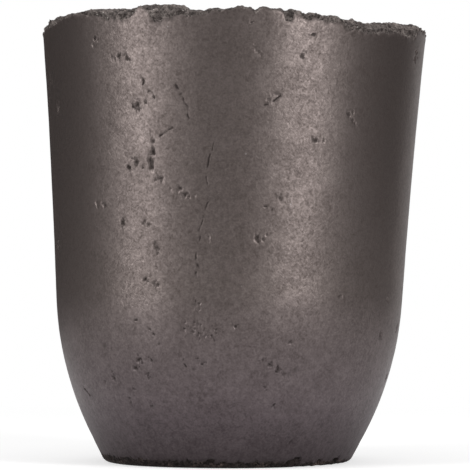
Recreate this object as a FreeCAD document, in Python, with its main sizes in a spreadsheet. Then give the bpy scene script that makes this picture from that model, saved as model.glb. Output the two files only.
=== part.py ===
import FreeCAD, Part

import math
import os
import random

import Sketcher

# Small clay-graphite foundry crucible, pressed in one piece. Millimetres, +Z up. The origin is the centre of
# the foot on the surface that the crucible stands on, and the front faces -Y.
#
# The wall was pressed true to its own axis, but the foot was ground a little off square to it, so the whole
# wall leans towards +X. The rim was left as it tore: flat breaks and steps, with spalls along its outer edge.

# Driving dimensions: alias, value and meaning. Lengths are in millimetres and angles in degrees.
DIMENSIONS = [
    ("rim_diameter", 125.0, "outside diameter of the wall at the mean height of the rim"),
    ("wall_height", 140.0, "mean height of the torn rim over the foot, along the wall's axis"),
    ("foot_diameter", 79.5, "diameter of the foot, before its edge is rounded"),
    ("skirt_angle", 27.5, "slope of the straight skirt over the foot, from the axis"),
    ("skirt_height", 8.3, "height where the skirt runs into the belly"),
    ("belly_radius", 109.0, "radius of the belly in section"),
    ("waist_height", 53.0, "height where the belly ends and the wall starts to flare"),
    ("rim_wall", 10.0, "thickness of the wall at the rim"),
    ("bore_taper", 4.5, "slope of the inside wall, from the axis"),
    ("bowl_radius", 21.0, "radius between the inside wall and the floor"),
    ("floor_thickness", 14.0, "thickness of the floor"),
    ("foot_round", 3.0, "rounding of the foot's edge"),
    ("lean_angle", 1.1, "how far the wall's axis leans from plumb"),
    ("ground_off", 2.0, "clay ground off under the foot to make it flat"),
    ("torn_stock", 6.0, "wall over the mean rim that the tear takes away"),
    ("tear_overrun", 4.0, "how far the tear runs past each side of the wall"),
    ("crest_inset", 3.0, "distance of the crest's two edges from the sides of the wall"),
    ("inner_break", 1.4, "how far the rim's inner edge has broken down below the crest"),
    ("chip_width", 3.8, "width of a usual chip along the foot's edge"),
    ("chip_height", 2.4, "height of a usual chip up the foot's edge"),
    ("chip_depth", 0.8, "depth of a usual chip into the foot's edge"),
]

# The torn rim's crest, going round from the left side past the front to the right side. Each row is a bearing
# in degrees (0 is the front, 90 is +X), the crest's height over the mean rim there, and how far the outer
# edge has broken down below the crest. The edge runs straight from row to row, and two close rows are a step.
FRONT_CREST = [
    (-96.0, -0.5, 1.5),
    (-86.0, -0.8, 2.6),
    (-72.0, 0.6, 1.4),
    (-70.0, 0.8, 1.0),
    (-65.0, 0.7, 0.9),
    (-60.0, 1.0, 0.9),
    (-50.0, 1.7, 0.9),
    (-39.0, 0.7, 2.2),
    (-29.0, 0.8, 1.6),
    (-28.0, 1.8, 0.8),
    (-24.0, 1.8, 2.8),
    (-15.0, 1.3, 2.4),
    (-13.0, -0.2, 1.4),
    (-9.0, -0.4, 1.0),
    (-6.5, 0.7, 0.8),
    (-3.0, 0.3, 0.8),
    (1.0, 1.1, 0.9),
    (5.0, 0.8, 0.9),
    (6.0, 0.0, 1.2),
    (8.0, 1.1, 0.8),
    (13.5, 0.7, 0.8),
    (14.2, 0.6, 3.8),
    (16.2, 0.6, 3.8),
    (16.9, 0.6, 0.8),
    (18.5, 0.4, 0.8),
    (21.5, -0.4, 1.2),
    (24.5, 0.0, 1.2),
    (27.0, -0.3, 1.2),
    (32.5, -0.2, 2.0),
    (33.3, -1.3, 2.4),
    (37.0, -1.0, 2.6),
    (43.0, -1.3, 2.6),
    (53.0, -0.3, 2.7),
    (62.0, 0.2, 2.2),
    (70.0, 0.9, 1.4),
    (92.0, 0.8, 1.4),
]
# The hidden half of the rim broke in the same way, in stretches drawn at random.
BACK_BEARINGS = (98.0, 258.0)
BACK_STRETCH = (4.0, 15.0)
BACK_HEIGHTS = (-1.1, 1.3)
BACK_BREAKS = (0.8, 3.0)
BACK_STEP = 0.8  # degrees that the step between two stretches takes

BREAK_LENGTH = 2.8  # degrees of rim that one flat break takes, at most
HEIGHT_SCATTER = 0.35
INSET_SCATTER = 0.8
BEARING_SCATTER = 0.25  # share of one break's length

# Chips out of the foot's edge: bearing, and size as a share of the usual chip.
FRONT_CHIPS = [
    (-65.0, 0.8),
    (-44.0, 0.6),
    (-35.0, 0.8),
    (-22.0, 0.9),
    (-16.5, 1.0),
    (-11.5, 0.8),
    (-7.0, 1.1),
    (-1.0, 0.7),
    (6.0, 0.9),
    (12.5, 0.6),
    (19.5, 0.9),
    (28.5, 0.8),
    (32.5, 1.3),
    (46.0, 0.8),
    (58.0, 1.0),
]
BACK_CHIPS = 15
CHIP_SIZES = (0.7, 1.3)
CHIP_PLACES = (0.2, 0.8)  # share of its own stretch of the back where a chip may lie
CHIP_SCATTER = 0.35  # share of the chip's own size
CHIP_CORNERS = 7

SEED = 6


def make_sheet(doc):
    """Spreadsheet with one driving dimension to a row."""
    sheet = doc.addObject("Spreadsheet::Sheet", "sizes")
    for row, (alias, value, meaning) in enumerate(DIMENSIONS, start=1):
        sheet.set(f"A{row}", alias)
        sheet.set(f"B{row}", str(value))
        sheet.setAlias(f"B{row}", alias)
        sheet.set(f"C{row}", meaning)
    doc.recompute()
    return sheet


def origin_plane(body, role):
    """One of the body's own origin planes."""
    return next(feature for feature in body.Origin.OriginFeatures if feature.Role == role)


def slope_point(centre, radius, slope):
    """Point of a section arc where its tangent stands at this slope from the axis, on the outer side."""
    return centre + FreeCAD.Vector(math.cos(slope), -math.sin(slope), 0) * radius


def section_arc(centre, start, end):
    """Arc of the section from start anticlockwise to end."""
    angles = [math.atan2(point.y - centre.y, point.x - centre.x) for point in (start, end)]
    circle = Part.Circle(centre, FreeCAD.Vector(0, 0, 1), start.distanceToPoint(centre))
    return Part.ArcOfCircle(circle, angles[0], angles[1])


def drive(sketch, name, expression, value, kind, *where):
    """Adds a dimension to the sketch and binds it to the sheet."""
    sketch.addConstraint(Sketcher.Constraint(kind, *where, value))
    sketch.renameConstraint(sketch.ConstraintCount - 1, name)
    sketch.setExpression(f"Constraints.{name}", expression)


def draw_section(sketch, sheet):
    """Half section of the pressed wall: foot, skirt, belly, flare, brim, bore, bowl and floor.

    Its vertical axis is the wall's own axis. The brim lies over the rim, which is not torn yet.
    """
    point = FreeCAD.Vector
    skirt_angle = math.radians(sheet.skirt_angle)
    bore_taper = math.radians(sheet.bore_taper)
    brim_height = sheet.wall_height + sheet.torn_stock
    foot_radius = sheet.foot_diameter / 2
    rim_radius = sheet.rim_diameter / 2

    base_edge = point(foot_radius - sheet.ground_off * math.tan(skirt_angle), -sheet.ground_off)
    skirt_top = point(foot_radius + sheet.skirt_height * math.tan(skirt_angle), sheet.skirt_height)
    belly_centre = skirt_top - slope_point(point(), sheet.belly_radius, skirt_angle)
    waist_slope = math.asin((belly_centre.y - sheet.waist_height) / sheet.belly_radius)
    waist = slope_point(belly_centre, sheet.belly_radius, waist_slope)
    # The flare leaves the waist along the belly's tangent and passes through the rim.
    rim = point(rim_radius, sheet.wall_height)
    chord = rim - waist
    flare_radius = chord.Length**2 / (2 * chord.dot(slope_point(point(), 1, waist_slope)))
    flare_centre = slope_point(waist, flare_radius, waist_slope)
    brim_slope = math.asin((brim_height - flare_centre.y) / flare_radius)
    flare_top = slope_point(flare_centre, -flare_radius, brim_slope)
    bore_top = point(rim_radius - sheet.rim_wall + sheet.torn_stock * math.tan(bore_taper), brim_height)
    bowl_height = sheet.floor_thickness + sheet.bowl_radius
    bore_at_bowl = bore_top.x - (brim_height - bowl_height) * math.tan(bore_taper)
    bowl_centre = point(bore_at_bowl - sheet.bowl_radius / math.cos(bore_taper), bowl_height)
    bowl_top = slope_point(bowl_centre, sheet.bowl_radius, bore_taper)
    floor_edge = point(bowl_centre.x, sheet.floor_thickness)

    base = sketch.addGeometry(Part.LineSegment(point(0, -sheet.ground_off), base_edge))
    skirt = sketch.addGeometry(Part.LineSegment(base_edge, skirt_top))
    belly = sketch.addGeometry(section_arc(belly_centre, skirt_top, waist))
    flare = sketch.addGeometry(section_arc(flare_centre, flare_top, waist))
    brim = sketch.addGeometry(Part.LineSegment(flare_top, bore_top))
    bore = sketch.addGeometry(Part.LineSegment(bore_top, bowl_top))
    bowl = sketch.addGeometry(section_arc(bowl_centre, floor_edge, bowl_top))
    floor = sketch.addGeometry(Part.LineSegment(floor_edge, point(0, sheet.floor_thickness)))
    axis = sketch.addGeometry(Part.LineSegment(point(0, sheet.floor_thickness), point(0, -sheet.ground_off)))
    foot_mark = sketch.addGeometry(Part.Point(point(foot_radius, 0)), True)
    rim_mark = sketch.addGeometry(Part.Point(rim), True)
    bore_mark = sketch.addGeometry(Part.Point(rim - point(sheet.rim_wall, 0)), True)

    start, end, root, axis_x, axis_y = 1, 2, -1, -1, -2
    corners = [(base, end, skirt, start), (flare, start, brim, start), (brim, end, bore, start)]
    corners += [(floor, end, axis, start), (axis, end, base, start)]
    blends = [(skirt, end, belly, start), (belly, end, flare, end), (bore, end, bowl, end)]
    blends += [(bowl, start, floor, start)]
    marks = [(foot_mark, skirt), (foot_mark, axis_x), (rim_mark, flare), (bore_mark, bore)]
    marks += [(axis, axis_y)]
    for corner in corners:
        sketch.addConstraint(Sketcher.Constraint("Coincident", *corner))
    for blend in blends:
        sketch.addConstraint(Sketcher.Constraint("Tangent", *blend))
    for mark, curve in marks:
        sketch.addConstraint(Sketcher.Constraint("PointOnObject", mark, start, curve))
    sketch.addConstraint(Sketcher.Constraint("PointOnObject", axis, end, axis_y))
    for line in (base, brim, floor):
        sketch.addConstraint(Sketcher.Constraint("Horizontal", line))

    drive(sketch, "foot_radius", "sizes.foot_diameter / 2", foot_radius, "DistanceX", root, 1, foot_mark, 1)
    drive(sketch, "base_depth", "sizes.ground_off", sheet.ground_off, "DistanceY", axis, end, root, 1)
    square = math.pi / 2
    drive(sketch, "skirt_slope", "(90 - sizes.skirt_angle) * 1 deg", square - skirt_angle, "Angle", skirt)
    drive(sketch, "skirt_top", "sizes.skirt_height", sheet.skirt_height, "DistanceY", root, 1, skirt, end)
    drive(sketch, "belly_arc", "sizes.belly_radius", sheet.belly_radius, "Radius", belly)
    drive(sketch, "waist", "sizes.waist_height", sheet.waist_height, "DistanceY", root, 1, belly, end)
    drive(sketch, "rim_radius", "sizes.rim_diameter / 2", rim_radius, "DistanceX", root, 1, rim_mark, 1)
    drive(sketch, "rim_height", "sizes.wall_height", sheet.wall_height, "DistanceY", root, 1, rim_mark, 1)
    drive(sketch, "brim_over", "sizes.torn_stock", sheet.torn_stock, "DistanceY", rim_mark, 1, brim, start)
    drive(sketch, "wall", "sizes.rim_wall", sheet.rim_wall, "DistanceX", bore_mark, 1, rim_mark, 1)
    sketch.addConstraint(Sketcher.Constraint("Horizontal", bore_mark, 1, rim_mark, 1))
    drive(sketch, "bore_slope", "-(90 + sizes.bore_taper) * 1 deg", -square - bore_taper, "Angle", bore)
    drive(sketch, "bowl_arc", "sizes.bowl_radius", sheet.bowl_radius, "Radius", bowl)
    drive(sketch, "floor", "sizes.floor_thickness", sheet.floor_thickness, "DistanceY", root, 1, axis, start)


def pressed_wall(doc, sheet):
    """The pressed wall: its section turned round its axis, then ground flat under the foot and rounded."""
    body = doc.addObject("PartDesign::Body", "pressed_wall")
    section = body.newObject("Sketcher::SketchObject", "wall_section")
    section.AttachmentSupport = (origin_plane(body, "XZ_Plane"), [""])
    section.MapMode = "FlatFace"
    draw_section(section, sheet)
    lean = FreeCAD.Rotation(FreeCAD.Vector(0, 0, 1), -sheet.lean_angle)
    section.AttachmentOffset = FreeCAD.Placement(FreeCAD.Vector(), lean)
    section.setExpression("AttachmentOffset.Rotation.Angle", "-sizes.lean_angle * 1 deg")
    wall = body.newObject("PartDesign::Revolution", "turned_wall")
    wall.Profile = section
    wall.ReferenceAxis = (section, ["V_Axis"])
    wall.Angle = 360
    doc.recompute()

    ground = body.newObject("Sketcher::SketchObject", "ground_circle")
    ground.AttachmentSupport = (origin_plane(body, "XY_Plane"), [""])
    ground.MapMode = "FlatFace"
    rim_radius = sheet.rim_diameter / 2
    circle = ground.addGeometry(Part.Circle(FreeCAD.Vector(), FreeCAD.Vector(0, 0, 1), rim_radius))
    ground.addConstraint(Sketcher.Constraint("Coincident", circle, 3, -1, 1))
    drive(ground, "radius", "sizes.rim_diameter / 2", rim_radius, "Radius", circle)
    foot = body.newObject("PartDesign::Pocket", "ground_foot")
    foot.Profile = ground
    foot.Length = 3 * sheet.ground_off
    foot.setExpression("Length", "3 * sizes.ground_off * 1 mm")
    doc.recompute()
    if foot.Shape.optimalBoundingBox(False).ZMin < -0.001:
        raise SystemExit("the foot was not ground flat")

    edges = [
        f"Edge{number}"
        for number, edge in enumerate(foot.Shape.Edges, start=1)
        if edge.BoundBox.ZMax < 0.01 and edge.BoundBox.XLength > sheet.foot_diameter / 2
    ]
    rounded = body.newObject("PartDesign::Fillet", "foot_round")
    rounded.Base = (foot, edges)
    rounded.Radius = sheet.foot_round
    rounded.setExpression("Radius", "sizes.foot_round * 1 mm")
    doc.recompute()
    body.Tip = rounded
    return body


def torn_crest(rng):
    """The whole crest as rows of bearing, height and outer break. Its hidden half is drawn at random."""
    rows = list(FRONT_CREST)
    bearing, last = BACK_BEARINGS
    while bearing < last:
        rows.append((bearing, rng.uniform(*BACK_HEIGHTS), rng.uniform(*BACK_BREAKS)))
        stretch = rng.uniform(*BACK_STRETCH)
        tilt = rng.uniform(-HEIGHT_SCATTER, HEIGHT_SCATTER)
        rows.append((bearing + stretch - BACK_STEP, rows[-1][1] + tilt, rows[-1][2]))
        bearing += stretch
    first = FRONT_CREST[0]
    rows.append((first[0] + 360, first[1], first[2]))
    return rows


def torn_stations(sheet, rng):
    """Cross lines of the torn surface: for each, its four points from inside the bore to outside the wall."""
    rows = torn_crest(rng)
    outer = sheet.rim_diameter / 2
    inner = outer - sheet.rim_wall
    stations = []
    for (bearing, height, outer_break), following in zip(rows, rows[1:]):
        breaks = math.ceil((following[0] - bearing) / BREAK_LENGTH)
        for step in range(breaks):
            share = step / breaks
            if step:
                share += rng.uniform(-BEARING_SCATTER, BEARING_SCATTER) / breaks
            angle = math.radians(bearing + share * (following[0] - bearing))
            crest = sheet.wall_height + height + share * (following[1] - height)
            drop = outer_break + share * (following[2] - outer_break)
            # Past the crest's edges the tear runs on at one slope to beyond the wall.
            overrun = (sheet.crest_inset + sheet.tear_overrun) / sheet.crest_inset
            across = [
                (inner - sheet.tear_overrun, crest - sheet.inner_break * overrun),
                (inner + sheet.crest_inset, crest),
                (outer - sheet.crest_inset, crest),
                (outer + sheet.tear_overrun, crest - drop * overrun),
            ]
            stations.append([
                FreeCAD.Vector(
                    (radius + rng.uniform(-INSET_SCATTER, INSET_SCATTER)) * math.sin(angle),
                    -(radius + rng.uniform(-INSET_SCATTER, INSET_SCATTER)) * math.cos(angle),
                    level + rng.uniform(-HEIGHT_SCATTER, HEIGHT_SCATTER),
                )
                for radius, level in across
            ])
    return stations


def polygon(*points):
    """Flat face with these corners."""
    return Part.Face(Part.makePolygon([*points, points[0]]))


def tear(sheet, rng):
    """The solid that the tear takes away. It lies over the torn surface, in the frame of the wall's axis."""
    stations = torn_stations(sheet, rng)

    def above(corner):
        return FreeCAD.Vector(corner.x, corner.y, sheet.wall_height + 2 * sheet.torn_stock)

    faces = []
    for here, there in zip(stations, stations[1:] + stations[:1]):
        for a, b, c, d in zip(here, here[1:], there[1:], there):
            faces += [polygon(a, b, d), polygon(b, c, d)]
        for side in (0, -1):
            faces.append(polygon(here[side], there[side], above(there[side]), above(here[side])))
    rings = [[above(station[side]) for station in stations] for side in (-1, 0)]
    rings = [Part.makePolygon([*ring, ring[0]]) for ring in rings]
    faces.append(Part.Face(rings, "Part::FaceMakerBullseye"))
    shell = Part.makeCompound(faces)
    shell.sewShape()
    return Part.makeSolid(shell.Shells[0])


def chip(sheet, bearing, size, rng):
    """One chip out of the foot's rounded edge: a hollow of flat breaks that meet in its deepest point."""
    def scattered(length):
        return length * size * (1 + rng.uniform(-CHIP_SCATTER, CHIP_SCATTER))

    lip = []
    for corner in range(CHIP_CORNERS):
        angle = math.tau * corner / CHIP_CORNERS
        along = scattered(sheet.chip_width / 2) * math.cos(angle)
        up = scattered(sheet.chip_height / 2) * math.sin(angle)
        lip.append(FreeCAD.Vector(0, along, up))
    deepest = FreeCAD.Vector(-scattered(sheet.chip_depth), 0, 0)
    outside = FreeCAD.Vector(sheet.chip_depth + sheet.foot_round, 0, 0)
    faces = [
        polygon(end, here, there)
        for end in (deepest, outside)
        for here, there in zip(lip, lip[1:] + lip[:1])
    ]
    solid = Part.makeSolid(Part.makeShell(faces))
    height = sheet.foot_round / 2
    skirt_radius = sheet.foot_diameter / 2 + height * math.tan(math.radians(sheet.skirt_angle))
    solid.translate(FreeCAD.Vector(skirt_radius, 0, height))
    solid.rotate(FreeCAD.Vector(), FreeCAD.Vector(0, 0, 1), bearing - 90)
    return solid


def foot_chips(sheet, rng):
    """All the chips round the foot's edge."""
    chips = list(FRONT_CHIPS)
    first, last = BACK_BEARINGS
    for number in range(BACK_CHIPS):
        bearing = first + (number + rng.uniform(*CHIP_PLACES)) * (last - first) / BACK_CHIPS
        chips.append((bearing, rng.uniform(*CHIP_SIZES)))
    solids = [chip(sheet, bearing, size, rng) for bearing, size in chips]
    return solids[0].fuse(solids[1:])


def cut(doc, name, base, tool):
    """Boolean cut that must take something away and leave one solid."""
    result = doc.addObject("Part::Cut", name)
    result.Base = base
    result.Tool = tool
    doc.recompute()
    taken = base.Shape.Volume - result.Shape.Volume
    print(f"{name}: {taken:.0f} mm3 taken away")
    if taken <= 0 or len(result.Shape.Solids) != 1:
        raise SystemExit(f"{name} went wrong")
    return result


def check(doc):
    """Stops the build if any object failed."""
    for item in doc.Objects:
        if {"Invalid", "Error"} & set(item.State):
            raise SystemExit(f"{item.Label} failed: {item.State}")


doc = FreeCAD.newDocument("foundry_crucible")
sizes = make_sheet(doc)
rng = random.Random(SEED)

wall = pressed_wall(doc, sizes)

torn_away = doc.addObject("Part::Feature", "torn_away")
torn_away.Shape = tear(sizes, rng)
lean = FreeCAD.Rotation(FreeCAD.Vector(0, 1, 0), sizes.lean_angle)
torn_away.Placement = FreeCAD.Placement(FreeCAD.Vector(), lean)
torn_away.setExpression("Placement.Rotation.Angle", "sizes.lean_angle * 1 deg")
torn_wall = cut(doc, "torn_wall", wall, torn_away)

chipped_away = doc.addObject("Part::Feature", "chipped_away")
chipped_away.Shape = foot_chips(sizes, rng)
crucible = cut(doc, "crucible", torn_wall, chipped_away)
crucible.Label = "crucible"

doc.recompute()
check(doc)
shape = crucible.Shape
if shape.isNull() or not shape.isValid():
    raise SystemExit("the crucible's shape is not valid")
box = shape.optimalBoundingBox(False)
print(f"crucible: {shape.Volume / 1000:.1f} cm3, {len(shape.Faces)} faces")
print(f"box: {box.XMin:.2f} {box.YMin:.2f} {box.ZMin:.2f} to {box.XMax:.2f} {box.YMax:.2f} {box.ZMax:.2f}")

os.makedirs("parts", exist_ok=True)
shape.exportStep("parts/crucible.step")
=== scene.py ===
import math
import random

import bmesh
import bpy
import numpy as np
from mathutils import Matrix, Vector, noise
from mathutils.bvhtree import BVHTree


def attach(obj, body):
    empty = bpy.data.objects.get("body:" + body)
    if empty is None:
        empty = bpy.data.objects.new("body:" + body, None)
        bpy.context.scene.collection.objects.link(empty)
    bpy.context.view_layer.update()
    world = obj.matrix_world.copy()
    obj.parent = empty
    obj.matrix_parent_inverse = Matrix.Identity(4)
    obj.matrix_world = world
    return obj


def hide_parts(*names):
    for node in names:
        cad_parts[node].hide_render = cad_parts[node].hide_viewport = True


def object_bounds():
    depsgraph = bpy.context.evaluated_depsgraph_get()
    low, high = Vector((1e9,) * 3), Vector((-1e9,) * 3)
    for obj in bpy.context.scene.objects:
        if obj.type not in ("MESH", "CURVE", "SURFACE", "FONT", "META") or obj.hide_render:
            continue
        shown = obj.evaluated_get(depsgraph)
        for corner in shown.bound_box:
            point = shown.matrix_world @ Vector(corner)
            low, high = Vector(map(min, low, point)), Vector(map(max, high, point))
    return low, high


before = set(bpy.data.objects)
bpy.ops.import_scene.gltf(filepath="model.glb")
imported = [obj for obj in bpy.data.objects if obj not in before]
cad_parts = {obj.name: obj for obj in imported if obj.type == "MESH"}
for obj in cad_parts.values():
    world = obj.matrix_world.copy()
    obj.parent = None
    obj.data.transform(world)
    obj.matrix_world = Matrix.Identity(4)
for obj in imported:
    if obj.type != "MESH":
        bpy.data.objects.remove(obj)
cad_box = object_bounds()


# The crucible
#
# One cup of clay-graphite, pressed in a mould and fired in one piece. Its skin is dense, with flakes of
# graphite smeared round it by the press. The foot was ground flat, a little off square, so the wall leans.
# The rim was never trimmed: it shows the crumbly body where it tore, and so do the foot's chipped edges.

MM = 0.001
LEAN = math.radians(1.1)

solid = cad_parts["crucible"]
solid_tree = BVHTree.FromPolygons(
    [vertex.co for vertex in solid.data.vertices],
    [face.vertices for face in solid.data.polygons],
)
from_axis = Matrix.Rotation(LEAN, 3, "Y")


def reach(start, direction):
    """Distance from a point to the solid's surface. Both are in the wall's own axes."""
    found = solid_tree.ray_cast(from_axis @ start, from_axis @ direction)
    return found[3]


def turns(columns):
    """The bearings of a row's points: 0 is the front and a quarter turn is +X."""
    return np.arange(columns) * math.tau / columns


def row(radius, height, columns):
    """A row of points round the wall's axis. Radius and height may change round it."""
    bearing = turns(columns)
    return np.stack(
        [radius * np.sin(bearing), -radius * np.cos(bearing), height + 0 * bearing], axis=1
    )


def outward(bearing):
    """The direction away from the axis at a bearing."""
    return Vector((math.sin(bearing), -math.cos(bearing), 0))


CLEAR_OF_WALL = 100 * MM  # a radius well outside the wall
CASTS_ROUND = 72
CASTS_UP = 30


def outside_radius_at(height):
    """The outside of the wall at one height, as the mean of casts round it."""
    casts = [
        CLEAR_OF_WALL - reach(outward(b) * CLEAR_OF_WALL + Vector((0, 0, height)), -outward(b))
        for b in turns(CASTS_ROUND)
    ]
    return sum(casts) / len(casts)


def inside_radius_at(height):
    """The bore at one height, as the mean of casts round it."""
    casts = [reach(Vector((0, 0, height)), outward(b)) for b in turns(CASTS_ROUND)]
    return sum(casts) / len(casts)


def curve_through(radius_at, lowest, highest, degree):
    """A smooth curve of radius against height through casts between two heights in millimetres."""
    heights = np.linspace(lowest, highest, CASTS_UP) * MM
    return np.polynomial.Polynomial.fit(heights, [radius_at(h) for h in heights], degree)


# The outside and the bore are smooth turned forms: a belly that runs into a flare, and a straight taper.
belly = curve_through(outside_radius_at, lowest=9.5, highest=62, degree=5)
flare = curve_through(outside_radius_at, lowest=46, highest=135, degree=3)
bore = curve_through(inside_radius_at, lowest=45, highest=134, degree=1)
BELLY_TOP = 48 * MM
BLEND_TALL = 10 * MM


def outside(height):
    """Radius of the outside: the belly below, the flare above, and a blend between them."""
    share = np.clip((height - BELLY_TOP) / BLEND_TALL, 0, 1)
    return belly(height) * (1 - share) + flare(height) * share


CLEAR_OF_RIM = 160 * MM  # a height well over the rim


def tear_height(radius, bearing):
    """Height of the torn rim at this radius and bearing."""
    top = Vector((0, 0, CLEAR_OF_RIM)) + outward(bearing) * radius
    return CLEAR_OF_RIM - reach(top, Vector((0, 0, -1)))


# Rows run from the middle of the foot out, up the wall, over the rim, down the bore and over the floor.
# Where more shows, a row has twice as many points as the row before or after it.
WALL_COLUMNS = 360
EDGE_COLUMNS = 2 * WALL_COLUMNS
BORE_COLUMNS = WALL_COLUMNS // 2
FLOOR_COLUMNS = BORE_COLUMNS // 2
rows = []
torn_rows = []


def add_row(points, torn=0.0):
    """Adds a row, with how much of each point is broken body rather than skin."""
    rows.append(points)
    torn_rows.append(np.zeros(len(points)) + torn)


# Ground foot
for radius in (4, 9, 14):
    add_row(row(radius * MM, 0, FLOOR_COLUMNS))
for radius in (17, 21, 25):
    add_row(row(radius * MM, 0, BORE_COLUMNS))
for radius in (28, 30.5, 33):
    add_row(row(radius * MM, 0, WALL_COLUMNS))

# The foot's edge, cast from the core circle so that the rows follow its round and its chips.
EDGE_ROWS = 17
FOOT_CORE = (34 * MM, 6 * MM)  # radius and height of a circle inside the foot
CHIP_SHOWS = 0.5 * MM  # a chip this deep shows nothing but broken body
RAW_FOOT = (0.9 * MM, 3.2 * MM)  # the edge is all worn raw below the first height, and not above the second
core = [outward(b) * FOOT_CORE[0] + Vector((0, 0, FOOT_CORE[1])) for b in turns(EDGE_COLUMNS)]
for slope in np.radians(np.linspace(-88, 0, EDGE_ROWS)):
    ray = [outward(b) * math.cos(slope) + Vector((0, 0, math.sin(slope))) for b in turns(EDGE_COLUMNS)]
    reaches = np.array([reach(start, direction) for start, direction in zip(core, ray)])
    height = FOOT_CORE[1] + reaches * math.sin(slope)
    chipped = np.clip((np.percentile(reaches, 70) - reaches) / CHIP_SHOWS, 0, 1)
    # The worn edge is also where the material paints the foot nearly black, as shade.
    worn = np.clip((RAW_FOOT[1] - height) / (RAW_FOOT[1] - RAW_FOOT[0]), 0, 1)
    add_row(row(FOOT_CORE[0] + reaches * math.cos(slope), height, EDGE_COLUMNS), np.maximum(chipped, worn))

# The wall
for height in np.concatenate([np.arange(7.2, 12, 1.2), np.arange(13, 130.5, 1.5)]) * MM:
    add_row(row(outside(height), height, WALL_COLUMNS))

# The top of the wall, with rows that close up towards the tear
UNDER_RIM = 131 * MM
UNDER_RIM_ROWS = 15
JUST_WITHIN = 0.2 * MM  # from the wall's surfaces, where the tear's outer and inner edges are measured
# How far the skin has come off under the rim's outer edge, over the front half: bearing in degrees and
# depth in millimetres. The hidden half is drawn at random.
BARE = [
    (-78, 1.2), (-66, 3.0), (-60, 1.4), (-51, 1.2), (-46, 2.2), (-38, 2.6), (-31, 3.0), (-29, 0.7),
    (-26, 0.7), (-24, 3.6), (-21, 4.6), (-17, 2.8), (-13, 1.8), (-9, 2.0), (-5, 1.0), (1, 0.7),
    (12, 0.7), (19, 2.0), (28, 2.0), (33, 1.2), (35, 2.4), (42, 2.2), (55, 2.0), (61, 3.4),
    (67, 3.6), (71, 1.4), (80, 1.2),
]
bared = random.Random(5)
for bearing in range(90, 276, 6):
    BARE.append((bearing, bared.uniform(0.7, 2.2) * bared.choice((1, 1, 1.8))))
edge_bearings = turns(EDGE_COLUMNS)
outer_edge = np.array([tear_height(outside(136 * MM) - JUST_WITHIN, b) for b in edge_bearings])
inner_edge = np.array([tear_height(bore(140 * MM) + JUST_WITHIN, b) for b in edge_bearings])
bare_at, bare_depth = np.array(BARE).T
bare = np.interp(np.degrees(edge_bearings), bare_at, bare_depth, period=360) * MM
for share in np.linspace(0, 1, UNDER_RIM_ROWS + 1) ** 0.85:
    height = UNDER_RIM + (outer_edge - UNDER_RIM) * share
    skin_off = np.clip((1.2 * bare - (outer_edge - height)) / (0.9 * bare), 0, 1)
    add_row(row(outside(height), height, EDGE_COLUMNS), skin_off)

# The tear
TEAR_ROWS = 18
outer_radius = outside(outer_edge)
inner_radius = bore(inner_edge)
for share in np.linspace(0, 1, TEAR_ROWS + 1)[1:-1]:
    radius = outer_radius + (inner_radius - outer_radius) * share
    height = np.array([tear_height(r, b) for r, b in zip(radius, edge_bearings)])
    add_row(row(radius, height, EDGE_COLUMNS), 1.0)

# The bore
for share in (0, 0.12, 0.28, 0.5, 0.75):
    height = inner_edge + (UNDER_RIM + 1 * MM - inner_edge) * share
    add_row(row(bore(height), height, EDGE_COLUMNS), max(0.0, 1 - 5 * share))
for height in np.array([131, 129.5, 128, 126]) * MM:
    add_row(row(bore(height), height, WALL_COLUMNS))
for height in np.linspace(124, 38, 36) * MM:
    add_row(row(bore(height), height, BORE_COLUMNS))

# The bowl, cast from a point on the axis, and the floor
BOWL_CORE = 38 * MM  # height of that point, from which the whole bowl can be seen
BOWL_CASTS = 36
INSIDE_FLOOR = 14 * MM
for slope in np.radians(np.linspace(-3, -46, 14)):
    casts = [
        reach(Vector((0, 0, BOWL_CORE)), outward(b) * math.cos(slope) + Vector((0, 0, math.sin(slope))))
        for b in turns(BOWL_CASTS)
    ]
    along = sum(casts) / len(casts)
    add_row(row(along * math.cos(slope), BOWL_CORE + along * math.sin(slope), BORE_COLUMNS))
for radius in (19, 15, 11):
    add_row(row(radius * MM, INSIDE_FLOOR, BORE_COLUMNS))
for radius in (8, 4):
    add_row(row(radius * MM, INSIDE_FLOOR, FLOOR_COLUMNS))

points = np.vstack(rows + [[(0, 0, INSIDE_FLOOR)], [(0, 0, 0)]])
torn = np.concatenate(torn_rows + [[0, 0]])


def band(start, wide_start, count):
    """Triangles from a row of points to the row after it, which has twice as many."""
    triangles = []
    for i in range(count):
        a, b = start + i, start + (i + 1) % count
        c, d, e = wide_start + 2 * i, wide_start + 2 * i + 1, wide_start + 2 * (i + 1) % (2 * count)
        triangles += [(a, d, c), (a, b, d), (b, e, d)]
    return triangles


faces = []
starts = np.cumsum([0] + [len(r) for r in rows])
for below, above, low, high in zip(starts, starts[1:], rows, rows[1:]):
    if len(low) == len(high):
        n = len(low)
        faces += [(below + i, below + (i + 1) % n, above + (i + 1) % n, above + i) for i in range(n)]
    elif len(low) < len(high):
        faces += band(below, above, len(low))
    else:
        faces += [(a, c, b) for a, b, c in band(above, below, len(high))]
floor_middle, foot_middle = len(points) - 2, len(points) - 1
n = FLOOR_COLUMNS
last = starts[-2]
faces += [(last + i, last + (i + 1) % n, floor_middle) for i in range(n)]
faces += [((i + 1) % n, i, foot_middle) for i in range(n)]

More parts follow.
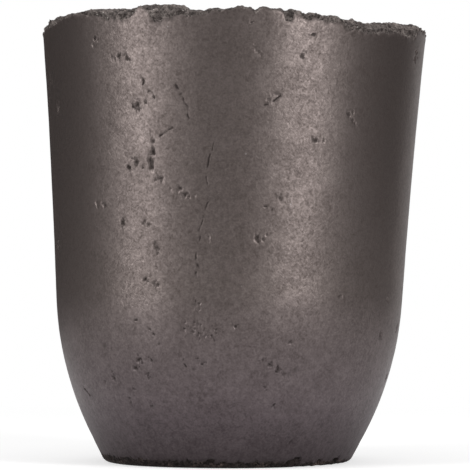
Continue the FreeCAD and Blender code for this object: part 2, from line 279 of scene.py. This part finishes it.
# Pits of the outside: bearing in degrees, then height up the wall, width, size upwards and depth, all in
# millimetres. On the wall a degree is about a millimetre.
PITS = [
    (-44, 132, 1.4, 1.2, 0.5),
    (-35, 126, 1.6, 1.2, 0.5),
    (-32, 125, 1.2, 1.2, 0.5),
    (-29, 111, 1.4, 1.6, 0.6),
    (5, 136, 1.3, 1.2, 0.4),
    (7, 127, 1.0, 1.3, 0.4),
    (23, 133, 1.5, 1.2, 0.4),
    (20, 126, 1.0, 1.5, 0.4),
    (37, 109.5, 1.2, 1.3, 0.6),
    (38.5, 108, 1.4, 1.0, 0.5),
    (-24, 96.5, 1.5, 2.4, 0.7),
    (-25, 94, 1.8, 2.2, 0.6),
    (-24.5, 92, 1.4, 1.4, 0.5),
    (-29.5, 93.5, 1.4, 1.8, 0.5),
    (-32.5, 92, 1.4, 1.3, 0.8),
    (-21.5, 88.5, 2.4, 1.3, 0.5),
    (-15.5, 85.5, 2.2, 1.6, 0.5),
    (-14, 83.5, 1.7, 1.6, 0.6),
    (-42.5, 80.5, 1.3, 1.1, 0.5),
    (-46, 81.5, 1.1, 1.1, 0.4),
    (-35, 75, 1.8, 1.8, 0.6),
    (-27, 75.5, 1.1, 1.1, 0.5),
    (-23, 67.5, 1.5, 1.2, 0.4),
    (-6.5, 71, 1.0, 1.1, 0.4),
    (25.5, 101, 1.6, 1.2, 0.5),
    (12.5, 114.5, 1.2, 0.9, 0.3),
    (10.5, 113, 1.0, 0.8, 0.3),
    (15, 83, 1.2, 1.3, 0.4),
    (8.5, 71, 1.5, 2.0, 0.6),
    (-27, 58, 1.3, 1.1, 0.5),
    (-23, 56, 1.1, 1.1, 0.4),
    (37.5, 54, 1.4, 1.2, 0.4),
    (2.5, 44, 1.2, 1.2, 0.5),
    (-31, 33, 1.8, 1.6, 0.6),
    (-32.5, 30.5, 2.0, 1.6, 0.6),
    (-28, 28.5, 1.1, 1.1, 0.5),
    (-43, 27, 1.4, 2.0, 0.5),
    (-48, 26, 1.2, 1.2, 0.4),
    (-35, 24, 1.1, 1.1, 0.4),
    (-37.5, 21, 1.0, 1.0, 0.4),
    (-28, 19, 1.2, 1.0, 0.4),
    (20.5, 39.5, 1.6, 1.0, 0.4),
    (11.5, 34, 1.3, 1.1, 0.4),
    (14, 32.5, 1.2, 1.0, 0.5),
    (17, 31, 1.6, 2.0, 0.7),
    (19, 29.5, 1.3, 1.4, 0.4),
    (13, 25.5, 1.2, 1.0, 0.4),
    (17, 20, 1.2, 1.2, 0.5),
]
# Scuffed patches, where the press dragged a strew of small pits: bearing, height up the wall, width in
# degrees and size upwards.
SCUFFS = [(-11, 43, 5, 4), (-7.5, 41, 4, 3), (-3.5, 42, 3, 3), (-9.5, 32.5, 4, 3), (-10, 50, 2, 5)]
# Drying cracks, as the points they run through: bearing and height.
CRACKS = [
    [
        (-5.5, 99), (-6.5, 95), (-7, 91), (-7, 87), (-6.5, 82),
        (-8.5, 77), (-9, 73), (-9.5, 69), (-10.5, 65), (-10, 60),
    ],
    [(-28, 120), (-27, 117)],
    [(-22, 101), (-19.5, 103), (-17.5, 104)],
    [(-25, 115), (-22.5, 112)],
    [(-16.5, 117), (-14, 111.5), (-12.5, 106.5)],
    [(9, 111), (10.5, 111.6)],
    [(12.2, 112.6), (14, 114)],
    [(-31.5, 45), (-28, 44.5), (-26, 42.5), (-23.5, 40.5), (-22.5, 38.5)],
    [(-64, 23), (-60.5, 21)],
    [(-31, 110), (-27.5, 110)],
    [(10, 80.5), (13, 79.5)],
    [(-15, 34), (-13.5, 31.5)],
]
CRACK_WIDTH = 0.5  # millimetres, as the depth is
CRACK_DEPTH = 0.35

# The hidden side has the same marks, strewn at random.
strewn = random.Random(11)
for _ in range(44):
    pit = (strewn.uniform(60, 300), strewn.uniform(18, 134))
    PITS.append(pit + (strewn.uniform(1.0, 2.0), strewn.uniform(1.0, 1.8), strewn.uniform(0.4, 0.7)))
for _ in range(6):
    patch = (strewn.uniform(70, 290), strewn.uniform(22, 125))
    SCUFFS.append(patch + (strewn.uniform(3, 8), strewn.uniform(3, 6)))
for _ in range(8):
    bearing, height = strewn.uniform(70, 290), strewn.uniform(30, 125)
    path = [(bearing, height)]
    for _ in range(strewn.choice((1, 2, 4, 6))):
        bearing += strewn.uniform(-1.6, 1.6)
        height -= strewn.uniform(2.0, 5.0)
        path.append((bearing, height))
    CRACKS.append(path)

# Each pit has smaller ones beside it, and a scuff is made of small ones alone.
for bearing, height, width, tall, depth in list(PITS):
    for _ in range(strewn.choice((0, 1, 2, 3))):
        aside = strewn.gauss(0, width * 0.8)
        up = strewn.gauss(0, tall * 0.8)
        size = (strewn.uniform(0.5, 1.0), strewn.uniform(0.5, 1.0), depth * 0.7)
        PITS.append((bearing + aside, height + up) + size)
for bearing, height, width, tall in SCUFFS:
    for _ in range(int(width * tall * 1.1)):
        aside, up = strewn.gauss(0, width / 3.2), strewn.gauss(0, tall / 3.2)
        size = (strewn.uniform(0.6, 1.3), strewn.uniform(0.5, 1.1), strewn.uniform(0.25, 0.5))
        PITS.append((bearing + aside, height + up) + size)


WALL_SPAN = (9 * MM, 136 * MM)  # the wall's outside, between the foot's edge and the tear


def on_wall(points):
    """Bearing in radians, height, radius, and whether each point is on the outside of the wall."""
    bearing = np.arctan2(points[:, 0], -points[:, 1])
    radius = np.hypot(points[:, 0], points[:, 1])
    height = points[:, 2]
    outer = np.abs(radius - outside(height)) < 1 * MM
    return bearing, height, radius, outer & (height > WALL_SPAN[0]) & (height < WALL_SPAN[1])


def turned_apart(bearing, degrees):
    """How far a bearing is from one in degrees, from minus half a turn to half a turn."""
    return (bearing - math.radians(degrees) + math.pi) % math.tau - math.pi


FAR_AWAY = 9  # further than any pit or crack reaches, for the points that aren't on the wall


def pit_share(surface, pit, room=0.0):
    """0 in the middle of a pit, 1 at its edge and more beyond it. Room widens it, in metres."""
    bearing, height, radius, wall = surface
    pit_bearing, pit_height, width, tall, _ = pit
    across = turned_apart(bearing, pit_bearing) * radius / (width * MM / 2 + room)
    along = (height - pit_height * MM) / (tall * MM / 2 + room)
    return np.where(wall, np.hypot(across, along), FAR_AWAY)


def crack_distance(surface, path, wander=0.0):
    """Distance from each point to the line of a crack, over the wall's surface."""
    bearing, height, radius, wall = surface
    nearest = np.full(len(height), FAR_AWAY, float)
    for (b0, h0), (b1, h1) in zip(path, path[1:]):
        x = turned_apart(bearing, b0) * radius + wander
        z = height - h0 * MM + wander
        dx, dz = math.radians(b1 - b0) * radius, (h1 - h0) * MM
        t = np.clip((x * dx + z * dz) / (dx * dx + dz * dz), 0, 1)
        nearest = np.minimum(nearest, np.hypot(x - t * dx, z - t * dz))
    return np.where(wall, nearest, FAR_AWAY)


mesh = bmesh.new()
torn_layer = mesh.verts.layers.float.new("torn")
for point, share in zip(points, torn):
    mesh.verts.new(point)[torn_layer] = share
mesh.verts.ensure_lookup_table()
for face in faces:
    mesh.faces.new([mesh.verts[int(i)] for i in face])

# The mesh is divided twice round each pit and crack, the second time closer to it. The wall's points are
# then put back on the turned form, because a division leaves them on flat faces.
for room in (0.8 * MM, 0.4 * MM):
    mesh.faces.ensure_lookup_table()
    surface = on_wall(np.array([face.calc_center_median() for face in mesh.faces]))
    near = np.zeros(len(mesh.faces), bool)
    for pit in PITS:
        near |= pit_share(surface, pit, room) < 1
    for path in CRACKS:
        near |= crack_distance(surface, path) < CRACK_WIDTH * MM / 2 + room
    edges = {edge for i in np.flatnonzero(near) for edge in mesh.faces[i].edges}
    bmesh.ops.subdivide_edges(mesh, edges=list(edges), cuts=1, use_grid_fill=True)

mesh.verts.ensure_lookup_table()
mesh.normal_update()
points = np.array([vertex.co for vertex in mesh.verts])
normals = np.array([vertex.normal for vertex in mesh.verts])
torn = np.array([vertex[torn_layer] for vertex in mesh.verts])
surface = on_wall(points)
bearing, height, radius, wall = surface
wall = wall & (height < UNDER_RIM)
smooth_radius = outside(height)
points[wall, 0] = (smooth_radius * np.sin(bearing))[wall]
points[wall, 1] = (-smooth_radius * np.cos(bearing))[wall]


def sampled(function, scale):
    """One of the noise functions at every point, at this scale in millimetres."""
    return np.array([function(Vector(point) / (scale * MM)) for point in points])


def crumb(at):
    """Crumbs of the broken body: each stands at its own height, with a groove round it."""
    apart, middles = noise.voronoi(at)
    return 0.6 * noise.cell(middles[0] * 9.7) + 0.4 * min(1.0, 2.2 * (apart[1] - apart[0])) - 0.5


# The pressed skin is never quite true. Each point sinks by this much, in millimetres.
uneven = 0.10 * (1 - sampled(noise.noise, 9)) / 2 + 0.05 * (1 - sampled(noise.noise, 3.2)) / 2
sink = uneven * (1 - torn)

# Crumbly broken body, with painted shade between the crumbs. At the foot the crumbs are rubbed down.
FOOT_EDGE = 8 * MM
crumbs = 0.7 * sampled(crumb, 2.0) + 0.3 * sampled(crumb, 0.9)
sink -= torn * np.where(height < FOOT_EDGE, 0.3, 0.7) * crumbs

# Pits and cracks have ragged edges, and a crack is deeper in some places than in others. Both get painted
# shade.
ragged = 0.8 * sampled(noise.noise, 1.0) + 0.7 * sampled(noise.noise, 0.5)
wander = 0.8 * MM * sampled(noise.noise, 2.6)
opened = np.clip(0.45 + 2.0 * sampled(noise.noise, 1.5), 0.05, 1)
hollow = np.zeros(len(points))
# Painted shade in the hollows between the crumbs
recess_shade = torn * np.clip(-0.15 - 2 * crumbs, 0, 0.6)
for pit in PITS:
    depth = pit[-1]
    share = pit_share(surface, pit) * (1 + ragged)
    hollow = np.maximum(hollow, np.clip(1 - share**2, 0, 1) * depth)
    recess_shade = np.maximum(recess_shade, np.clip(1.3 - 1.3 * share, 0, 1) * min(0.9, depth * 1.6))
for path in CRACKS:
    share = crack_distance(surface, path, wander) / (CRACK_WIDTH * MM / 2)
    hollow = np.maximum(hollow, np.clip(1 - share, 0, 1) * CRACK_DEPTH * opened)
    recess_shade = np.maximum(recess_shade, np.clip(1.6 - share, 0, 1) * np.clip(1.4 * opened, 0, 1))
sink += hollow

# The ground foot stays flat.
GROUND = 0.4 * MM
standing = points[:, 2] > GROUND
points[standing] -= (normals * sink[:, None] * MM)[standing]

# Back from the wall's axes to the foot's, flat on the floor and within the solid's box.
LEAST_RISE = 0.02 * MM
placed = points @ np.array(from_axis).T
placed[placed[:, 2] < LEAST_RISE, 2] = 0
placed = np.clip(placed, np.array(cad_box[0]), np.array(cad_box[1]))
recess_shade_layer = mesh.verts.layers.float.new("recess_shade")
for vertex, place, share in zip(mesh.verts, placed, recess_shade):
    vertex.co = place
    vertex[recess_shade_layer] = share

for face in mesh.faces:
    face.smooth = True
crucible_mesh = bpy.data.meshes.new("crucible_body")
mesh.to_mesh(crucible_mesh)
mesh.free()
crucible = bpy.data.objects.new("crucible_body", crucible_mesh)
bpy.context.scene.collection.objects.link(crucible)


def group_with(name, size, outputs):
    """A shader node group that takes a size and gives these values, and its input and output nodes."""
    group = bpy.data.node_groups.new(name, "ShaderNodeTree")
    socket = group.interface.new_socket(name=size, in_out="INPUT", socket_type="NodeSocketFloat")
    socket.default_value = 1.0
    for label in outputs:
        group.interface.new_socket(name=label, in_out="OUTPUT", socket_type="NodeSocketFloat")
    return group, group.nodes.new("NodeGroupInput"), group.nodes.new("NodeGroupOutput")


def add(tree, kind, **settings):
    """A node with its settings. Its inputs, by name or place, are other sockets or plain values."""
    inputs = settings.pop("inputs", {})
    node = tree.nodes.new(kind)
    for key, value in settings.items():
        setattr(node, key, value)
    for key, value in inputs.items():
        if isinstance(value, bpy.types.NodeSocket):
            tree.links.new(value, node.inputs[key])
        else:
            node.inputs[key].default_value = value
    return node


def maths(tree, operation, *values):
    """A Math node's result."""
    return add(tree, "ShaderNodeMath", operation=operation, inputs=dict(enumerate(values))).outputs[0]


def between(tree, value, low, high, to_low=0.0, to_high=1.0):
    """A value's place between low and high, clamped and spread from to_low to to_high."""
    inputs = {"Value": value, "From Min": low, "From Max": high, "To Min": to_low, "To Max": to_high}
    return add(tree, "ShaderNodeMapRange", inputs=inputs).outputs[0]


def blend_colour(tree, share, first, second):
    node = add(tree, "ShaderNodeMix", data_type="RGBA", inputs={0: share, 6: first, 7: second})
    return node.outputs[2]


def blend_value(tree, share, first, second):
    return add(tree, "ShaderNodeMix", data_type="FLOAT", inputs={0: share, 2: first, 3: second}).outputs[0]


def noise_at(tree, vector, scale, detail=2.0, roughness=0.5, distortion=0.0):
    inputs = {
        "Vector": vector,
        "Scale": scale,
        "Detail": detail,
        "Roughness": roughness,
        "Distortion": distortion,
    }
    return add(tree, "ShaderNodeTexNoise", inputs=inputs).outputs[0]


def cells_at(tree, vector, scale):
    """Distance and random colour of Voronoi cells."""
    node = add(tree, "ShaderNodeTexVoronoi", inputs={"Vector": vector, "Scale": scale})
    return node.outputs["Distance"], node.outputs["Color"]


def in_millimetres(tree, size):
    """The place on the object in millimetres, over a size."""
    place = add(tree, "ShaderNodeTexCoord").outputs["Object"]
    inputs = {0: place, "Scale": maths(tree, "DIVIDE", 1000.0, size)}
    return add(tree, "ShaderNodeVectorMath", operation="SCALE", inputs=inputs).outputs[0]


# Graphite flakes lie in the skin in swirling strokes, a millimetre or two long.
flakes, flakes_in, flakes_out = group_with("graphite_flakes", "Flake size", ("Flakes", "Grain", "Glint"))
place = in_millimetres(flakes, flakes_in.outputs["Flake size"])
stroke = noise_at(flakes, place, 0.7, 3.0, 0.6, 0.7)
speck = noise_at(flakes, place, 1.6, 1.0)
cloud = noise_at(flakes, place, 0.11, 3.0, 0.6)
grain = blend_value(flakes, 0.4, stroke, speck)
drift = maths(flakes, "MULTIPLY", maths(flakes, "SUBTRACT", cloud, 0.5), 0.35)
share = maths(flakes, "ADD", grain, drift)
# A few small cells are painted lighter, as painted glints of flakes.
apart, chance = cells_at(flakes, place, 0.8)
glint = maths(flakes, "MULTIPLY", between(flakes, apart, 0.30, 0.16), between(flakes, chance, 0.95, 0.97))
flakes.links.new(between(flakes, share, 0.31, 0.69), flakes_out.inputs["Flakes"])
flakes.links.new(grain, flakes_out.inputs["Grain"])
flakes.links.new(glint, flakes_out.inputs["Glint"])

# Where the body is broken it is all crumbs, some of them pale grog.
broken, broken_in, broken_out = group_with("broken_body", "Crumb size", ("Tone", "Height", "Grog"))
place = in_millimetres(broken, broken_in.outputs["Crumb size"])
apart, tone = cells_at(broken, place, 0.85)
fine_apart, fine_tone = cells_at(broken, place, 2.1)
height = maths(broken, "MULTIPLY", blend_value(broken, 0.3, apart, fine_apart), -1.0)
mixed = blend_value(broken, 0.5, tone, fine_tone)
chosen = between(broken, fine_tone, 0.86, 0.90)
grog = maths(broken, "MULTIPLY", chosen, between(broken, fine_apart, 0.5, 0.3))
broken.links.new(between(broken, mixed, 0.3, 0.7), broken_out.inputs["Tone"])
broken.links.new(height, broken_out.inputs["Height"])
broken.links.new(grog, broken_out.inputs["Grog"])

# Colours of clay, graphite and broken body, and of the painted shade, reflection and glints on them
CLAY = (0.066, 0.052, 0.048, 1)
GRAPHITE = (0.148, 0.123, 0.116, 1)
# purple copies of the skin colours for below: a painted reflection of the floor
CLAY_TINTED_BY_REFLECTION = (0.063, 0.048, 0.052, 1)
GRAPHITE_TINTED_BY_REFLECTION = (0.134, 0.108, 0.115, 1)
# painted shade, darkening the skirt towards the foot
SKIRT_SHADE = (0.016, 0.013, 0.014, 1)
# painted glint of a flake
PAINTED_GLINT = (0.19, 0.17, 0.165, 1)
CREVICE = (0.038, 0.031, 0.029, 1)
CRUMB = (0.225, 0.192, 0.178, 1)
PALE_GROG = (0.50, 0.47, 0.43, 1)
# the foot's edge, nearly black as painted shade
SHADED_FOOT_CREVICE = (0.008, 0.007, 0.007, 1)
SHADED_FOOT_CRUMB = (0.050, 0.040, 0.038, 1)
# painted highlight, where the foot's chipped crumbs catch the light
FOOT_CRUMB_HIGHLIGHT = (0.15, 0.112, 0.10, 1)
# painted shade in pits, cracks and between crumbs
RECESS_SHADE_COLOUR = (0.016, 0.011, 0.010, 1)

# Heights in millimetres where each of these starts, going down, and where it is full
FLOOR_REFLECTION_HEIGHTS = (55, 15)
SKIRT_SHADE_HEIGHTS = (22, 2)
SHADED_FOOT_HEIGHTS = (8, 6)

finish = bpy.data.materials.new("clay_graphite")
finish.use_nodes = True
tree = finish.node_tree
shader = tree.nodes["Principled BSDF"]
shader.inputs["IOR"].default_value = 1.5
shader.inputs["Specular Tint"].default_value = (0.55, 0.52, 0.51, 1)
skin = add(tree, "ShaderNodeGroup", node_tree=flakes, inputs={"Flake size": 1.0})
body = add(tree, "ShaderNodeGroup", node_tree=broken, inputs={"Crumb size": 1.0})
here = in_millimetres(tree, 1.0)
height = add(tree, "ShaderNodeSeparateXYZ", inputs={0: here}).outputs[2]
recess_shaded = add(tree, "ShaderNodeAttribute", attribute_name="recess_shade").outputs["Fac"]

# The broken share has a ragged edge.
torn_share = add(tree, "ShaderNodeAttribute", attribute_name="torn").outputs["Fac"]
waver = maths(tree, "SUBTRACT", noise_at(tree, here, 0.55, 3.0, 0.65), 0.5)
ragged_share = maths(tree, "ADD", torn_share, maths(tree, "MULTIPLY", waver, 1.6))
near_tear = between(tree, torn_share, 0, 0.1)
bare_share = maths(tree, "MULTIPLY", between(tree, ragged_share, 0.48, 0.62), near_tear)

# Skin: warm grey above, painted floor reflection tints it purple below, painted shade darkens the skirt
low_share = between(tree, height, *FLOOR_REFLECTION_HEIGHTS)
skirt_shade = between(tree, height, *SKIRT_SHADE_HEIGHTS)
warm_skin = blend_colour(tree, skin.outputs["Flakes"], CLAY, GRAPHITE)
# A purple tint below, painted as the reflection of the floor
skin_with_painted_reflection = blend_colour(tree, skin.outputs["Flakes"], CLAY_TINTED_BY_REFLECTION, GRAPHITE_TINTED_BY_REFLECTION)
colour = blend_colour(tree, low_share, warm_skin, skin_with_painted_reflection)
# Painted shade darkens the skirt towards the foot.
colour = blend_colour(tree, maths(tree, "MULTIPLY", skirt_shade, 0.52), colour, SKIRT_SHADE)
# Painted glints: a few small cells are lighter, as flakes that catch the light.
colour = blend_colour(tree, skin.outputs["Glint"], colour, PAINTED_GLINT)

# Broken body: crumbs and grog above; at the foot nearly black, painted shade, with painted highlight
# patches
broken_colour = blend_colour(tree, body.outputs["Tone"], CREVICE, CRUMB)
broken_colour = blend_colour(tree, body.outputs["Grog"], broken_colour, PALE_GROG)
# Patches of painted highlight, where the foot's crumbs catch the light
highlight_patches = between(tree, noise_at(tree, here, 0.13, 3.0, 0.6), 0.50, 0.60)
highlighted_crumbs = maths(tree, "MULTIPLY", highlight_patches, body.outputs["Tone"])
shaded_foot_colour = blend_colour(tree, body.outputs["Tone"], SHADED_FOOT_CREVICE, SHADED_FOOT_CRUMB)
shaded_foot_colour = blend_colour(tree, highlighted_crumbs, shaded_foot_colour, FOOT_CRUMB_HIGHLIGHT)
# Painted shade: the foot's edge nearly black
broken_colour = blend_colour(tree, between(tree, height, *SHADED_FOOT_HEIGHTS), broken_colour, shaded_foot_colour)
colour = blend_colour(tree, bare_share, colour, broken_colour)
# Painted shade in pits, cracks and the hollows between crumbs
colour = blend_colour(tree, maths(tree, "MULTIPLY", recess_shaded, 0.9), colour, RECESS_SHADE_COLOUR)
tree.links.new(colour, shader.inputs["Base Color"])

# Sheen: the flakes shine softly; the painted shade of skirt and recesses, and the broken body, are matt.
rough = between(tree, skin.outputs["Flakes"], 0, 1, 0.46, 0.36)
rough = blend_value(tree, skirt_shade, rough, 0.6)
rough = blend_value(tree, bare_share, rough, 0.9)
rough = blend_value(tree, recess_shaded, rough, 0.9)
tree.links.new(rough, shader.inputs["Roughness"])
metal = blend_value(tree, low_share, between(tree, skin.outputs["Flakes"], 0, 1, 0.5, 0.8), 0.25)
covered = maths(tree, "MAXIMUM", bare_share, recess_shaded)
metal = maths(tree, "MULTIPLY", metal, maths(tree, "SUBTRACT", 1.0, covered))
tree.links.new(metal, shader.inputs["Metallic"])
tree.links.new(between(tree, skirt_shade, 0, 1, 0.5, 0.15), shader.inputs["Specular IOR Level"])

# Relief too fine for the mesh
fine_relief = add(
    tree,
    "ShaderNodeBump",
    inputs={"Strength": 1.0, "Distance": 0.08 * MM, "Height": skin.outputs["Grain"]},
).outputs[0]
crumb_relief = add(
    tree,
    "ShaderNodeBump",
    inputs={
        "Strength": bare_share,
        "Distance": 0.6 * MM,
        "Height": body.outputs["Height"],
        "Normal": fine_relief,
    },
).outputs[0]
tree.links.new(crumb_relief, shader.inputs["Normal"])
crucible.data.materials.append(finish)

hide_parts("crucible")
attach(crucible, "root")


# The floor and the room
#
# A plain white floor that runs off into white. The lamps light it, so that the crucible's shadow shows.

HALF_FLOOR = 6.0
UNDER_FOOT = -0.1 * MM  # just under the foot, so that the two never share a plane
FLOOR_FADES = (0.15, 0.5)  # distances from the middle where the lit floor starts and ends its fade to white
floor_mesh = bpy.data.meshes.new("floor")
corners = [(x * HALF_FLOOR, y * HALF_FLOOR, UNDER_FOOT) for x, y in ((-1, -1), (1, -1), (1, 1), (-1, 1))]
floor_mesh.from_pydata(corners, [], [(0, 1, 2, 3)])
floor = bpy.data.objects.new("floor", floor_mesh)
bpy.context.scene.collection.objects.link(floor)


def seen_rays(tree):
    """1 for the rays that show the room itself: straight, mirrored or through glass."""
    path = add(tree, "ShaderNodeLightPath").outputs
    seen = maths(tree, "MAXIMUM", path["Is Camera Ray"], path["Is Glossy Ray"])
    return maths(tree, "MAXIMUM", seen, path["Is Transmission Ray"])


paper = bpy.data.materials.new("floor_paper")
paper.use_nodes = True
tree = paper.node_tree
tree.nodes.remove(tree.nodes["Principled BSDF"])
place = add(tree, "ShaderNodeTexCoord").outputs["Object"]
distance = add(tree, "ShaderNodeVectorMath", operation="LENGTH", inputs={0: place}).outputs["Value"]
far = between(tree, distance, *FLOOR_FADES)
paleness = blend_colour(tree, far, (0.6, 0.6, 0.6, 1), (0, 0, 0, 1))
lit = add(tree, "ShaderNodeBsdfDiffuse", inputs={"Color": paleness})
strength = maths(tree, "MULTIPLY", seen_rays(tree), between(tree, far, 0, 1, 0.6, 1.0))
glow = add(tree, "ShaderNodeEmission", inputs={"Color": (1, 1, 1, 1), "Strength": strength})
both = add(tree, "ShaderNodeAddShader", inputs={0: lit.outputs[0], 1: glow.outputs[0]})
tree.links.new(both.outputs[0], tree.nodes["Material Output"].inputs["Surface"])
floor.data.materials.append(paper)

room = bpy.data.worlds.new("room")
room.use_nodes = True
bpy.context.scene.world = room
tree = room.node_tree
background = tree.nodes["Background"]
background.inputs["Color"].default_value = (1, 1, 1, 1)
tree.links.new(between(tree, seen_rays(tree), 0, 1, 0.2, 1.0), background.inputs["Strength"])


# Lamps and flags
#
# Two soft boxes in front, one to each side, each draw a soft band down the wall, and one overhead lights
# the floor. Black flags keep the rest of the wall dark.


def aim(thing, azimuth, distance, height):
    """Stands a thing at this bearing and distance and faces it to the crucible."""
    bearing = math.radians(azimuth)
    thing.location = outward(bearing) * distance + Vector((0, 0, height))
    thing.rotation_euler = (math.pi / 2, 0, bearing)


def soft_box(name, width, tall, radiance):
    """An evenly bright panel that the camera doesn't see."""
    lamp = bpy.data.lights.new(name, "AREA")
    lamp.shape = "RECTANGLE"
    lamp.size, lamp.size_y = width, tall
    lamp.energy = radiance * math.pi * width * tall
    holder = bpy.data.objects.new(name, lamp)
    bpy.context.scene.collection.objects.link(holder)
    holder.visible_camera = False
    return holder


FLAG_TALL = 0.8


def flag(name, azimuth, width, distance):
    """A black card, which the camera doesn't see, turned to the crucible."""
    card_mesh = bpy.data.meshes.new(name)
    w, t = width / 2, FLAG_TALL / 2
    card_mesh.from_pydata([(-w, -t, 0), (w, -t, 0), (w, t, 0), (-w, t, 0)], [], [(0, 1, 2, 3)])
    card = bpy.data.objects.new(name, card_mesh)
    bpy.context.scene.collection.objects.link(card)
    aim(card, azimuth, distance, height=FLAG_TALL / 2)
    card.visible_camera = False
    card.data.materials.append(black_cloth)


black_cloth = bpy.data.materials.new("black_cloth")
black_cloth.use_nodes = True
cloth = black_cloth.node_tree.nodes["Principled BSDF"]
cloth.inputs["Base Color"].default_value = (0.02, 0.02, 0.02, 1)
cloth.inputs["Roughness"].default_value = 0.95

aim(soft_box("box_left", width=0.36, tall=0.9, radiance=6.0), azimuth=-56, distance=0.9, height=0.45)
aim(soft_box("box_right", width=0.24, tall=0.9, radiance=10.5), azimuth=43, distance=0.9, height=0.45)
overhead = soft_box("box_over", width=1.2, tall=1.2, radiance=1.5)
overhead.location = (0, 0.1, 1.3)
flag("flag_left", azimuth=-125, width=0.90, distance=0.5)
flag("flag_right", azimuth=100, width=0.60, distance=0.5)
flag("flag_front", azimuth=-6, width=0.90, distance=1.2)


# The camera
#
# A long lens about a third of the way up the crucible, so that its sides stay nearly upright and the rim is
# seen from below.

camera_data = bpy.data.cameras.new("camera")
camera_data.sensor_width = 36
camera_data.lens = 190.4
camera = bpy.data.objects.new("camera", camera_data)
bpy.context.scene.collection.objects.link(camera)
camera.location = (0.0029, -0.8088, 0.048)
looked_at = Vector((0.0029, 0, 0.0734))
line_of_sight = looked_at - camera.location
camera.rotation_euler = line_of_sight.to_track_quat("-Z", "Y").to_euler()
bpy.context.scene.camera = camera
bpy.context.scene.view_settings.view_transform = "Standard"
